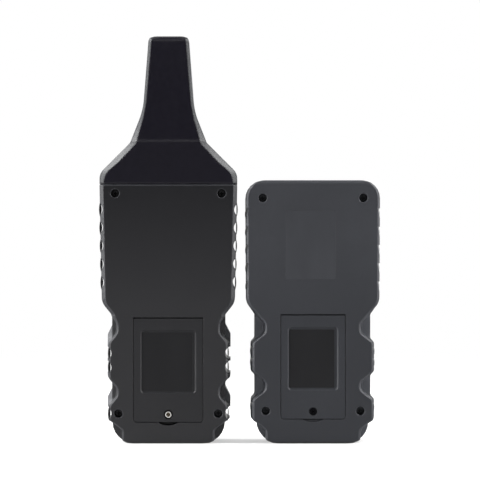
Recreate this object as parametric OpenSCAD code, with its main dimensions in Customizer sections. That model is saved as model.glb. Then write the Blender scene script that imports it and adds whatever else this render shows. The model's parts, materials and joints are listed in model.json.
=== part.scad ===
// Cable locator set: a receiver with an antenna head, and a transmitter.
// Both stand upright, +Z up their length, displays to -Y, battery doors to +Y.

/* [Set] */
// Gap between the two units
unit_gap = 5.2; // [3:0.1:40]

/* [Receiver case] */
// Height of the receiver body up to the seam with its antenna head
receiver_body_h = 154.8; // [150:0.2:165]
// Height of the antenna head above the seam
receiver_head_h = 88.9; // [80:0.1:105]
// Width at the seam
receiver_top_w = 82.2; // [81:0.2:90]
// Width where the upper body starts to draw in
receiver_hip_w = 79.4; // [78:0.2:86]
// Width across the waist
receiver_waist_w = 67.8; // [66:0.2:71]
// Width across the grip lobes
receiver_lobe_w = 72.4; // [71.4:0.2:77]
// Width left across the back between the finger scoops
receiver_scoop_w = 61.6; // [58:0.2:63]
// Width of the light bevel along the back edges
receiver_back_bevel = 2.4; // [1.2:0.1:2.8]
// Width of the antenna head at its tip
receiver_tip_w = 23.8; // [22:0.2:30]

/* [Transmitter case] */
// Height of the transmitter
transmitter_body_h = 157.2; // [152:0.2:170]
// Width across the top
transmitter_top_w = 80; // [79.6:0.2:90]
// Width where the upper body starts to draw in
transmitter_hip_w = 79.2; // [78:0.2:86]
// Width across the waist
transmitter_waist_w = 69; // [66:0.2:71]
// Width across the grip lobes
transmitter_lobe_w = 73.6; // [71.4:0.2:77]
// Width left across the back between the finger scoops
transmitter_scoop_w = 57; // [55:0.2:62]
// Width of the light bevel along the back edges
transmitter_back_bevel = 1.4; // [1.2:0.1:2.8]
// Radius of the top corners
transmitter_top_r = 10.8; // [6:0.2:16]

/* [Case] */
// Depth from the parting plane to the back
rear_d = 16; // [15.6:0.1:20]
// Depth from the parting plane to the front
front_d = 22.8; // [22:0.1:28]
// Wall thickness of the shells
wall = 2.2; // [1.8:0.1:2.6]
// Radius of the bottom corners
corner_r = 12.4; // [8:0.2:13.4]
// Height where the upper body starts to draw in
hip_z = 84.2; // [82:0.2:87]

/* [Battery compartment] */
// Width of the receiver door
receiver_door_w = 41.2; // [39:0.2:44]
// Width of the transmitter door
transmitter_door_w = 38.2; // [38:0.2:42]
// Height of both doors
door_h = 62; // [61:0.2:64]
// Thickness of both doors
door_t = 2.2; // [1.8:0.1:2.6]
// Diameter of one cell
battery_d = 10.5; // [10:0.1:10.6]
// Length of one cell
battery_l = 44.5; // [43:0.1:45]

/* [Front] */
// Width of both display windows
display_w = 44; // [36:0.5:45]
// Height of the receiver window
receiver_display_h = 50; // [40:0.5:51]
// Height of the transmitter window
transmitter_display_h = 45; // [36:0.5:46]
// Width of a key
key_w = 16; // [12:0.2:17]
// Height of a key
key_h = 9; // [7:0.2:10]
// How far a key presses in
key_travel = 1.2; // [0.6:0.1:1.4]

/* [Antenna] */
// Radius of the ferrite core
core_r = 4; // [3:0.1:4.5]
// Length of the ferrite core
core_l = 50; // [44:0.5:54]

/* [Sockets] */
// Bore of the output sockets
socket_bore_d = 4; // [4:0.1:4.4]
// Distance between the output sockets
socket_pitch = 19; // [17:0.1:26]

/* [Hidden] */
$fn = 48;
receiver = 0;
transmitter = 1;

// Cuts and fits
over = 1;
running = 0.3;
fitted = 0.1;
arc_steps = 6;
corner_room_share = 0.49;
station_step = 0.18;
straight = 0.001;

// Case edges
front_edge_r = 4;
end_r = 2.6;
edge_steps = 4;
scoop_floor_y = 7.6;
scoop_in_shares = [0.82, 0.95];
scoop_up_shares = [0.1, 0.55];
hip_r = 9;
scoop_r = 4.6;
lobe_r = 2.6;
foot_r = 3.4;
lobe_side = 0.7;
scoop_bevel = 1.2;
bevel_depth_share = 0.7;
seam_groove = 0.4;
seam_edge = 0.9;
parting_groove = 0.35;
front_lip = 0.4;

// Heights of the scoops and lobes
waist_z = 77;
scoop_up_high = 71.8;
scoop_up_low = 66;
mid_lobe_high = 60;
low_lobe_low = 14.2;
receiver_mid_lobe_low = 39;
receiver_low_lobe_high = 22.4;
transmitter_mid_lobe_low = 43;
transmitter_low_lobe_high = 26;
scoop_low_slope = 5.8;
lobe_rise = 2.4;
front_lobe_lift = 4.8;
front_lobe_rise = 6.2;
front_lobe_out = 0.8;
foot_scoop_high = 8.4;
receiver_foot_scoop_in = 3.2;
transmitter_foot_scoop_in = 0.2;
receiver_foot_in = 0.2;
transmitter_foot_in = 1.2;

// Rib slots, notches, grip bars and grip ribs in the sides
rib_pitch = 10.9;
rib_l = 6.8;
receiver_rib_depth = 1.6;
transmitter_rib_depth = 1.3;
grip_rise = 0.7;
grip_d = 10;
bar_rise = 0.6;
bar_bite = 0.2;
bar_end = 1.6;
bar_d = 2.8;
receiver_rib_down = 11.6;
transmitter_rib_down = 16.8;
rib_floor_y = 2.6;
lobe_rib_shares = [0.87, 0.47];
low_rib_share = 0.87;

// Case screws
receiver_screw_in = 9.3;
receiver_screw_down = 5.5;
receiver_low_screw_in = 6.4;
receiver_low_screw_z = 18;
transmitter_screw_in = 10;
transmitter_screw_down = 10.6;
transmitter_low_screw_in = 8.6;
transmitter_low_screw_z = 19.6;
screw_hole_r = 2.5;
screw_hole_depth = 8.4;
screw_hole_bevel = 0.4;
screw_head_r = 2.35;
screw_head_h = 1.8;
screw_r = 1.25;
screw_pass_r = 1.55;
screw_l = 15;
boss_r = 3.7;
cross_l = 2.4;
cross_w = 0.62;
cross_depth = 1;

// Battery door
receiver_door_z = 13;
transmitter_door_z = 14.9;
door_gap = 0.35;
door_sink = 0.15;
door_seat = 0.1;
door_corner_r = 1.8;
panel_side = 4;
panel_low = 16.9;
panel_high = 7.1;
panel_depth = 0.8;
panel_slope = 0.8;
panel_r = 2.2;
label_margin = 0.9;
label_x = 0.7;
label_r = 0.6;
label_t = 0.25;
tab_x_share = 0.28;
tab_w = 8;
tab_reach = 2.6;
tab_root = 4;
tab_t = 1.5;
tab_bite = 0.4;
door_screw_up = 4.4;
door_screw_head_r = 2.1;
door_screw_head_h = 1.3;
receiver_door_seat_r = 2.8;
transmitter_door_seat_r = 2.5;
door_screw_pass_r = 1.5;
door_screw_l = 6.4;
insert_r = 2.9;
insert_l = 5.2;
insert_bore_r = 1.95;
thumb_w = 13;
thumb_h = 2.1;
receiver_thumb_depth = 5;
transmitter_thumb_depth = 1.2;

// Cells and contacts
battery_count = 3;
battery_slack = 0.4;
contact_space = 2.9;
contact_t = 0.5;
contact_h = 6.4;
contact_button_r = 2.6;
cell_cap_r = 1.9;
cell_cap_h = 0.9;
bay_up = 4;
tail_w = 3;
tail_in_share = 0.72;
back_label_w = 29.7;
back_label_h = 41;
back_label_x = 1.6;
back_label_lift = 1.6;
pocket_wall = 2;

// Display
display_r = 2.5;
bezel_w = 3.6;
bezel_proud = 1.2;
window_seat = 1.2;
window_proud = 0.4;
window_land = 2;
module_margin = 1;
module_t = 4;
header_w = 34;
header_h = 2.4;
receiver_display_down = 11.8;
transmitter_display_down = 27;

// Keys
key_r = 2.6;
key_proud = 0.9;
key_flange = 1.1;
key_flange_t = 1.2;
key_x = 12.8;
display_gap_share = 0.2;
row_gap_share = 0.137;
receiver_rows = 3;
transmitter_rows = 2;
dome_r = 3;
dome_sheet_t = 0.8;
dome_margin = 1;

// Board
board_t = 1.6;
board_half = 30;
board_foot_z = 16;
board_step_z = 25;
board_gap = 1;
post_h = 6.6;
post_r = 2.8;
post_x = 27.1;
post_low_z = 30;
post_down = 4;
post_bore_r = 1.05;
post_bore = 5;
board_hole_r = 1.5;
board_screw_r = 1;
board_screw_l = 6;
board_screw_head_r = 2.2;
board_screw_head_h = 1.4;
chip_w = 14;
chip_t = 1.4;
chip_up_share = 0.25;
chip_side = 12;
small_chip_w = 7;
capacitor_r = 3;
capacitor_h = 7;
capacitor_x = 19;
capacitor_up_share = 0.5;
link_w = 8;
link_d = 5;
link_h = 6;
link_down = 3;
buzzer_r = 6;
buzzer_h = 5;
buzzer_gap_share = 0.09;
sound_r = 0.9;
sound_pitch = 3;

// Antenna head
head_bevel = 2.4;
shoulder_bevel = 5;
crease_bevel = 4.4;
neck_bevel = 3.8;
flare_bevel = 1.6;
tip_bevel = 1.9;
neck_step = 0.6;
crease_rise = 0.9;
crease_step = 0.6;
head_step = 0.5;
head_front_bevel = 4;
head_tip_r = 3.4;
shoulder_r = 15;
shoulder_up = 6.6;
neck_up = 24.8;
neck_w = 45.8;
neck_r = 1;
flare_up = 44.5;
flare_w = 30.4;
flare_r = 42;
neck_rear = 14.8;
neck_front = 19;
tip_rear = 9.6;
tip_front = 11;
bulkhead_t = 2.4;
bulkhead_open_w = 44;
bulkhead_open_rear = 12.4;
bulkhead_open_front = 18;
lug_t = 3;
lug_half = 4;
lug_drop = 4;

// Antenna parts
core_y = -0.8;
core_gap = 1;
bobbin_inset = 5;
bobbin_wall = 0.9;
flange_t = 1.6;
coil_t = 1.5;
lead_r = 0.7;
lead_x = 1.4;

// Sockets
socket_y = -10.6;
socket_r = 6;
socket_shroud_t = 1.5;
socket_l = 20;
socket_base = 4;
socket_sink = 0.3;
contact_wall = 0.9;
contact_down = 3.2;
contact_tail = 2;

// Transformer and fuse
transformer_w = 19;
transformer_d = 9;
transformer_h = 16;
transformer_up_share = 0.85;
transformer_x = 8;
transformer_coil_w = 12;
transformer_coil_h = 20;
transformer_coil_d = 6;
fuse_r = 2.5;
fuse_l = 20;
fuse_up_share = 0.72;
fuse_lift = 4.2;
clip_l = 4;
clip_wall = 0.5;
clip_foot_w = 3;

// Sizes of each unit
function pick(u, a, b) = u == receiver ? a : b;
function body_h(u) = pick(u, receiver_body_h, transmitter_body_h);
function top_half(u) = pick(u, receiver_top_w, transmitter_top_w) / 2;
function hip_half(u) = pick(u, receiver_hip_w, transmitter_hip_w) / 2;
function waist_half(u) = pick(u, receiver_waist_w, transmitter_waist_w) / 2;
function lobe_half(u) = pick(u, receiver_lobe_w, transmitter_lobe_w) / 2;
function scoop_half(u) = pick(u, receiver_scoop_w, transmitter_scoop_w) / 2;
function foot_back_half(u) = scoop_half(u)
    - pick(u, receiver_foot_scoop_in, transmitter_foot_scoop_in);
function back_bevel(u) = pick(u, receiver_back_bevel, transmitter_back_bevel);
function foot_half(u) = waist_half(u) - pick(u, receiver_foot_in, transmitter_foot_in);
function mid_lobe_low(u) = pick(u, receiver_mid_lobe_low, transmitter_mid_lobe_low);
function low_lobe_high(u) = pick(u, receiver_low_lobe_high, transmitter_low_lobe_high);

front_reach = front_d + bezel_proud;
mid_y = (front_reach - rear_d) / 2;
unit_x = [(unit_gap + transmitter_top_w) / 2, -(unit_gap + receiver_top_w) / 2];

// Front of the inside, board faces
front_in_y = wall - front_d;
board_front_y = front_in_y + post_h;
board_back_y = board_front_y + board_t;
board_top = [receiver_body_h - receiver_display_down + board_gap,
             transmitter_body_h - transmitter_display_down + board_gap];

// Door, bay and cells
function door_w(u) = pick(u, receiver_door_w, transmitter_door_w);
function door_low(u) = pick(u, receiver_door_z, transmitter_door_z);
function door_seat_r(u) = pick(u, receiver_door_seat_r, transmitter_door_seat_r);
function door_screw_z(u) = door_low(u) + door_screw_up;
function hinge_z(u) = door_low(u) + door_h - door_t / 2;
function bay_low(u) = door_screw_z(u) + bay_up;
function bay_high(u) = bay_low(u) + bay_h;
door_out_y = rear_d - door_sink;
door_in_y = door_out_y - door_t;
hinge_y = door_out_y - door_t / 2;
ledge_y = door_in_y - door_seat;
bay_floor_y = ledge_y - battery_d - 2 * battery_slack;
bay_half = (battery_count * battery_d + (battery_count + 1) * battery_slack) / 2;
bay_h = battery_l + cell_cap_h + 2 * contact_space;
cell_y = bay_floor_y + battery_slack + battery_d / 2;
cell_pitch = battery_d + battery_slack;
tab_swing = norm([door_t / 2 + tab_t, door_t / 2 + tab_reach]);

// Case screw places, x and z on one side
function screw_up(u) = [top_half(u) - pick(u, receiver_screw_in, transmitter_screw_in),
    body_h(u) - pick(u, receiver_screw_down, transmitter_screw_down)];
function screw_low(u) = [lobe_half(u) - pick(u, receiver_low_screw_in, transmitter_low_screw_in),
    pick(u, receiver_low_screw_z, transmitter_low_screw_z)];
screw_seat_y = rear_d - screw_hole_depth;

// Display and key places
function display_h(u) = pick(u, receiver_display_h, transmitter_display_h);
function display_z(u) = body_h(u) - pick(u, receiver_display_down, transmitter_display_down)
    - display_h(u) / 2;
function key_rows(u) = pick(u, receiver_rows, transmitter_rows);
function display_low(u) = display_z(u) - display_h(u) / 2 - bezel_w;
key_room = key_h + 2 * key_flange;
function front_spare(u) = display_low(u) - board_foot_z - key_rows(u) * key_room - 2 * buzzer_r;
function key_z(u, row) = display_low(u) - (row + 1 / 2) * key_room
    - front_spare(u) * (display_gap_share + row * row_gap_share);
function buzzer_z(u) = key_z(u, key_rows(u) - 1) - key_room / 2 - front_spare(u) * buzzer_gap_share
    - buzzer_r;

key_back_y = front_in_y + fitted + key_flange_t;
dome_back_y = board_front_y - dome_sheet_t;
dome_front_y = key_back_y + key_travel + running;

// Antenna head levels
seam_z = receiver_body_h;
tip_z = receiver_body_h + receiver_head_h;
neck_z = seam_z + neck_up;
flare_z = seam_z + flare_up;
core_low = tip_z - head_tip_r - wall - core_gap - core_l;
flange_low = core_low + bobbin_inset;
flange_high = core_low + core_l - bobbin_inset - flange_t;

// Sockets
socket_top = transmitter_body_h - socket_sink;
socket_low = socket_top - socket_l;
socket_contact_r = socket_bore_d / 2 + contact_wall;

// Rounded outlines
function flat(p) = [p[0], p[1]];
function toward(a, b) = (flat(b) - flat(a)) / norm(flat(b) - flat(a));
function corner(a, b, c) =
    let (u = toward(b, a), v = toward(b, c))
    b[2] == 0 || norm(u + v) < straight ? [flat(b)] :
    let (half = acos(u * v) / 2,
         room = corner_room_share * min(norm(flat(a) - flat(b)), norm(flat(c) - flat(b))),
         r = min(b[2], room * tan(half)),
         middle = flat(b) + (u + v) / norm(u + v) * r / sin(half),
         first = flat(b) + u * r / tan(half) - middle,
         last = flat(b) + v * r / tan(half) - middle,
         a0 = atan2(first[1], first[0]),
         sweep = (180 - 2 * half) * sign(cross(first, last)))
    [for (k = [0:arc_steps]) let (t = a0 + sweep * k / arc_steps) middle + r * [cos(t), sin(t)]];
function open_path(pts) = [for (i = [1:len(pts) - 2]) each corner(pts[i - 1], pts[i], pts[i + 1])];
function rounded(pts) =
    let (n = len(pts))
    [for (i = [0:n - 1]) each corner(pts[(i + n - 1) % n], pts[i], pts[(i + 1) % n])];
function rounded_rect(w, h, r) =
    rounded([[-w / 2, -h / 2, r], [w / 2, -h / 2, r], [w / 2, h / 2, r], [-w / 2, h / 2, r]]);

// Levels of a loft, sorted and thinned
function sorted(v) =
    len(v) < 2 ? v :
    let (p = v[floor(len(v) / 2)])
    concat(sorted([for (x = v) if (x < p) x]), [p], sorted([for (x = v) if (x > p) x]));
function thinned(v) = [for (i = [0:len(v) - 1])
    if (i == 0 || i == len(v) - 1
        || (v[i] - v[0] > station_step && v[i + 1] - v[i] > station_step)) v[i]];
function levels_of(path) = [for (p = path) p[0]];
function end_levels(low, high) = [for (k = [0:edge_steps])
    each [low + end_r * (1 - cos(90 * k / edge_steps)), high - end_r * (1 - cos(90 * k / edge_steps))]];
function round_over(d, r, gap) = gap >= r ? d : d - r + sqrt(r * r - (r - max(gap, 0)) * (r - max(gap, 0)));

// Side paths of a unit as height and half width
function upper_path(u) = [
    [hip_z, hip_half(u), hip_r],
    each u == receiver ? [[body_h(u), top_half(u), 0], [body_h(u) + over, top_half(u)]]
        : [[body_h(u), top_half(u), transmitter_top_r], [body_h(u), 0]]];
function back_path(u) =
    let (lobe = lobe_half(u) - lobe_side, scoop = scoop_half(u), foot = foot_back_half(u))
    open_path(concat([
        [0, 0],
        [0, foot, foot_r],
        [foot_scoop_high, foot, foot_r],
        [low_lobe_low, lobe, lobe_r],
        [low_lobe_high(u), lobe, lobe_r],
        [low_lobe_high(u) + scoop_low_slope, scoop, scoop_r],
        [mid_lobe_low(u) - scoop_low_slope, scoop, scoop_r],
        [mid_lobe_low(u), lobe, lobe_r],
        [mid_lobe_high, lobe, lobe_r],
        [scoop_up_low, scoop, scoop_r],
        [scoop_up_high, scoop, scoop_r]],
        upper_path(u)));
function core_path(u) = side_path(u, 0, lobe_rise, 0);
function front_path(u) = u == transmitter ? core_path(u)
    : side_path(u, front_lobe_lift, front_lobe_rise, front_lobe_out);
function foot_arc(half, r, low) = [for (k = [0:arc_steps]) let (t = 90 * k / arc_steps)
    [low + r * (1 - cos(t)), half - r + r * sin(t), 0]];
function side_path(u, lift, rise, out) =
    let (lobe = lobe_half(u) + out, waist = waist_half(u))
    open_path(concat([
        [0, 0],
        each foot_arc(foot_half(u), corner_r, 0),
        [low_lobe_low, lobe, lobe_r],
        [low_lobe_high(u) + lift, lobe, lobe_r],
        [low_lobe_high(u) + lift + rise, waist, lobe_r],
        [mid_lobe_low(u) - lobe_rise, waist, lobe_r],
        [mid_lobe_low(u), lobe, lobe_r],
        [mid_lobe_high + lift, lobe, lobe_r],
        [mid_lobe_high + lift + rise, waist, lobe_r],
        [waist_z, waist, lobe_r]],
        upper_path(u)));

// Depth at a height, eased at the ends of a unit
function end_gap(u, z) = u == receiver ? z : min(z, body_h(u) - z);
function rear_y(u, z) = round_over(rear_d, end_r, end_gap(u, z));
function front_y(u, z) = round_over(front_d, end_r, end_gap(u, z));
function seam_in(u, z) = u == receiver ? max(0, seam_groove - abs(body_h(u) - z)) : 0;
function seam_slope(u, z) = u == receiver ? max(0, seam_edge - abs(body_h(u) - z)) : 0;
function body_levels(u, path_a, path_b) = thinned(sorted(concat(
    levels_of(path_a), levels_of(path_b),
    u == receiver ? [body_h(u) - seam_edge, body_h(u) - seam_groove] : [],
    [for (z = end_levels(0, body_h(u))) if (u == transmitter || z <= end_r) z])));

// Sections of the shells
function mirrored(side) = [for (i = [len(side) - 1:-1:0]) [-side[i][0], side[i][1], side[i][2]]];
function rear_section(u, z, back, core) =
    let (wc = lookup(z, core) - seam_in(u, z),
         wb = min(lookup(z, back) - seam_in(u, z), wc),
         y = rear_y(u, z) - seam_slope(u, z),
         c = lookup(z, [[scoop_up_high, scoop_bevel], [waist_z, back_bevel(u)]]),
         d = c * bevel_depth_share,
         rise = y - d - scoop_floor_y)
    let (side = concat(
        [[wc - parting_groove, 0, z], [wc, parting_groove, z], [wc, scoop_floor_y, z]],
        [for (k = [0, 1])
            [wc + (wb - wc) * scoop_in_shares[k], scoop_floor_y + rise * scoop_up_shares[k], z]],
        [[wb, y - d, z], [wb - c, y, z]]))
    concat([[0, y, z]], mirrored(side), side);
function front_section(u, z, path, core) =
    let (w = lookup(z, path) - seam_in(u, z),
         y = front_y(u, z) - seam_in(u, z),
         r = front_edge_r,
         lobe = max(0, lookup(z, path) - lookup(z, core)),
         g = parting_groove + lobe * bevel_depth_share,
         out = w + pick(u, 0, front_lip))
    let (side = concat(
        [[w - parting_groove - lobe, 0, z], [w, -g, z]],
        u == transmitter ? [[out, -g, z]] : [],
        [for (k = [0:edge_steps]) let (t = 90 * k / edge_steps)
            [out - r + r * cos(t), r - y - r * sin(t), z]]))
    concat([[0, -y, z]], [for (i = [len(side) - 1:-1:0]) side[i]],
        [for (p = side) [-p[0], p[1], p[2]]]);

// Antenna head paths and sections
head_path = open_path([
    [seam_z - over, top_half(receiver)],
    [seam_z, top_half(receiver), 0],
    [seam_z + shoulder_up, top_half(receiver), shoulder_r],
    [neck_z, neck_w / 2, neck_r],
    [flare_z, flare_w / 2, flare_r],
    [tip_z, receiver_tip_w / 2, head_tip_r],
    [tip_z, 0]]);
head_bevels = [[seam_z, head_bevel], [seam_z + shoulder_up, (head_bevel + shoulder_bevel) / 2],
    [seam_z + 2 * shoulder_up, shoulder_bevel], [neck_z - neck_step, crease_bevel],
    [neck_z + neck_step, neck_bevel], [flare_z, flare_bevel], [tip_z, tip_bevel]];
head_rear = [[seam_z, rear_d - head_step], [neck_z + neck_step, neck_rear + crease_step],
    [neck_z + neck_step + crease_rise, neck_rear], [tip_z, tip_rear]];
head_levels = thinned(sorted(concat(
    levels_of(head_path), levels_of(head_bevels), levels_of(head_rear), [seam_z + seam_groove],
    [for (k = [0:edge_steps]) tip_z - head_tip_r * (1 - cos(90 * k / edge_steps))])));
head_front = [[seam_z, front_d], [neck_z, neck_front], [tip_z, tip_front]];
function head_depth(table, z) = round_over(lookup(z, table), head_tip_r, tip_z - z);
function head_half(z) = lookup(z, head_path);
function head_section(z) =
    let (w = head_half(z) - seam_in(receiver, z),
         y = head_depth(head_rear, z) - seam_in(receiver, z),
         f = head_depth(head_front, z) - seam_in(receiver, z),
         c = lookup(z, head_bevels),
         d = head_front_bevel)
    let (side = [[w - d, -f, z], [w, d - f, z], [w, y - c * bevel_depth_share, z], [w - c, y, z]])
    concat([[0, y, z]], mirrored(side), side);
function head_inside(z) =
    let (w = head_half(z) - wall,
         y = lookup(z, head_rear) - wall,
         f = lookup(z, head_front) - wall,
         c = max(head_bevel, lookup(z, head_bevels)))
    let (side = [[w - c, -f, z], [w, c - f, z], [w, y - c, z], [w - c, y, z]])
    concat([[0, y, z]], mirrored(side), side);
head_inside_low = seam_z + bulkhead_t;
head_inside_high = tip_z - head_tip_r - wall;
head_inside_levels = [head_inside_low,
    each [for (z = head_levels) if (z > head_inside_low && z < head_inside_high) z], head_inside_high];

// Solids
module loft(sections) {
    n = len(sections[0]);
    m = len(sections);
    last = n * (m - 1);
    polyhedron(
        points = [for (s = sections) each s],
        faces = concat(
            [for (i = [0:m - 2]) for (k = [0:n - 1])
                let (a = i * n + k, b = i * n + (k + 1) % n)
                each [[a, a + n, b + n], [a, b + n, b]]],
            [for (k = [1:n - 2]) [0, k, k + 1]],
            [for (k = [1:n - 2]) [last, last + k + 1, last + k]]));
}
module place(u) {
    translate([unit_x[u], mid_y, 0]) children();
}
module both_sides() {
    children();
    mirror([1, 0, 0]) children();
}
module prism_y(points, y0, y1) {
    translate([0, y1, 0]) rotate([90, 0, 0]) linear_extrude(y1 - y0) polygon(points);
}
module slab(w, h, r, y0, y1) {
    prism_y(rounded_rect(w, h, r), y0, y1);
}
module rod_y(r, y0, y1) {
    translate([0, y1, 0]) rotate([90, 0, 0]) cylinder(r = r, h = y1 - y0);
}
module rod_z(r, z0, z1) {
    translate([0, 0, z0]) cylinder(r = r, h = z1 - z0);
}
module rod_x(r, w) {
    rotate([0, 90, 0]) cylinder(r = r, h = w, center = true);
}
module block(w, y0, y1, z0, z1) {
    translate([-w / 2, y0, z0]) cube([w, y1 - y0, z1 - z0]);
}
module at(x, z) {
    translate([x, 0, z]) children();
}
module cross_cut(y) {
    for (turn = [0, 90]) rotate([0, turn, 0])
        block(cross_l, y - cross_depth, y + over, -cross_w / 2, cross_w / 2);
}
module screw_places(u) {
    both_sides() {
        at(screw_up(u)[0], screw_up(u)[1]) children();
        at(screw_low(u)[0], screw_low(u)[1]) children();
    }
}
module key_places(u) {
    for (row = [0:key_rows(u) - 1]) both_sides() at(key_x, key_z(u, row)) children();
}
module post_places(u) {
    both_sides() {
        at(post_x, post_low_z) children();
        at(post_x, board_top[u] - post_down) children();
    }
}

// Insides of the shells
module front_hollow(u) {
    low = waist_half(u) - wall;
    high = hip_half(u) - wall;
    top = u == receiver ? body_h(u) + over : body_h(u) - wall;
    top_r = u == receiver ? 0 : transmitter_top_r - wall;
    foot = foot_arc(foot_half(u) - wall, corner_r - wall, wall);
    prism_y(rounded(concat(
        [for (p = foot) [p[1], p[0], 0]],
        [[low, low_lobe_low, 0], [low, waist_z + wall, 0],
        [high, hip_z + wall, 0], [high, top, top_r], [-high, top, top_r],
        [-high, hip_z + wall, 0], [-low, waist_z + wall, 0], [-low, low_lobe_low, 0]],
        [for (i = [arc_steps:-1:0]) [-foot[i][1], foot[i][0], 0]])), front_in_y, over);
}
module rear_hollow(u) {
    high = hip_half(u) - wall;
    low = hip_z + wall;
    top = u == receiver ? body_h(u) + over : body_h(u) - wall;
    top_r = u == receiver ? 0 : transmitter_top_r - wall;
    prism_y(rounded([
        [-high, low, hip_r], [high, low, hip_r], [high, top, top_r], [-high, top, top_r]]),
        -over, rear_d - wall);
    both_sides() side_pocket(u);
}
module side_pocket(u) {
    from = bay_half + pocket_wall;
    to = scoop_half(u) - pocket_wall;
    translate([from, -over, bay_low(u)]) cube([to - from, over + ledge_y - pocket_wall, bay_h]);
}

// Ribs in the sides: slots under grip bars on the receiver, notches before grip ribs on the transmitter
function rib_levels(u) =
    let (first = body_h(u) - pick(u, receiver_rib_down, transmitter_rib_down),
         count = floor((first - hip_z) / rib_pitch),
         low = mid_lobe_low(u))
    concat([for (k = [0:count - 1]) first - k * rib_pitch],
        [for (s = lobe_rib_shares) low + (mid_lobe_high - low) * s],
        [low_lobe_low + (low_lobe_high(u) - low_lobe_low) * low_rib_share]);
module notch(w, z) {
    depth = transmitter_rib_depth;
    rise = rear_d - rib_floor_y;
    out = w + over;
    spare = over / depth;
    past = 1 + over / rise;
    polyhedron(
        points = [[out, rear_d + over, z], [w - depth * past, rear_d + over, z],
            [out, rib_floor_y - rise * spare, z], [out, rear_d + over, z - rib_l * (past + spare)]],
        faces = [[0, 2, 1], [0, 3, 2], [0, 1, 3], [1, 2, 3]]);
}
module rib_notches(core) {
    both_sides() for (z = rib_levels(transmitter)) notch(lookup(z, core), z);
}
module rib_slots(back) {
    both_sides() for (z = rib_levels(receiver))
        let (middle = z - rib_l / 2, w = lookup(middle, back), out = w + front_lobe_out + 2 * over)
        prism_y(concat(bow(w, middle, -receiver_rib_depth, rib_l / 2), [[out, z], [out, z - rib_l]]),
            -front_d - over, rear_d + over);
}
function bow(w, z, rise, half) =
    let (r = (rise + half * half / rise) / 2, span = asin(half / r))
    [for (k = [0:arc_steps]) let (t = span * (2 * k / arc_steps - 1))
        [w + rise - r + r * cos(t), z + r * sin(t)]];
module grip_ribs(core) {
    both_sides() for (z = rib_levels(transmitter)) let (middle = z - rib_l / 2, w = lookup(middle, core))
        prism_y(concat([[w - wall / 2, z - rib_l]], bow(w, middle, grip_rise, rib_l / 2),
            [[w - wall / 2, z]]), -parting_groove - grip_d, -parting_groove);
}
module grip_bars(back) {
    high = rear_d - receiver_back_bevel * bevel_depth_share;
    both_sides() for (z = rib_levels(receiver)) let (middle = z - rib_l / 2, w = lookup(middle, back))
        prism_y(bow(w - bar_bite, middle, bar_rise + bar_bite, rib_l / 2 + bar_end), high - bar_d, high);
}

// Battery bay, door recess and hinge pockets
module bay_cut(u) {
    edge = door_w(u) / 2 + door_gap;
    low = door_low(u) - door_gap;
    high = door_low(u) + door_h + door_gap;
    corner = door_corner_r + door_gap;
    prism_y(rounded([[-edge, low, corner], [edge, low, corner], [edge, high, 0], [-edge, high, 0]]),
        ledge_y, rear_d + over);
    block(2 * bay_half, bay_floor_y, rear_d, bay_low(u), bay_high(u));
    both_sides() at(door_w(u) * tab_x_share, 0)
        block(tab_w + 2 * running, hinge_y - tab_swing - running, ledge_y + door_seat + tab_bite / 2,
            bay_high(u) - over, hinge_z(u) + door_t / 2 + tab_reach + running);
    thumb_y = rear_d - pick(u, receiver_thumb_depth, transmitter_thumb_depth);
    intersection() {
        at(0, door_low(u) - thumb_h + thumb_r()) rod_y(thumb_r(), thumb_y, rear_d + over);
        block(thumb_w + 2 * over, thumb_y - over, rear_d + 2 * over, door_low(u) - thumb_h - over,
            door_low(u));
    }
    at(0, door_screw_z(u)) rod_y(insert_r, ledge_y - insert_l - running, rear_d);
    both_sides() tail_cut(u);
}
function thumb_r() = thumb_h / 2 + thumb_w * thumb_w / (8 * thumb_h);
module tail_cut(u) {
    at(bay_half * tail_in_share, 0) for (z = tail_levels(u))
        block(tail_w + running, -over, bay_floor_y + over, z - running / 2, z + contact_t + running / 2);
}
function tail_levels(u) = [bay_low(u), bay_high(u) - contact_t];

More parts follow.
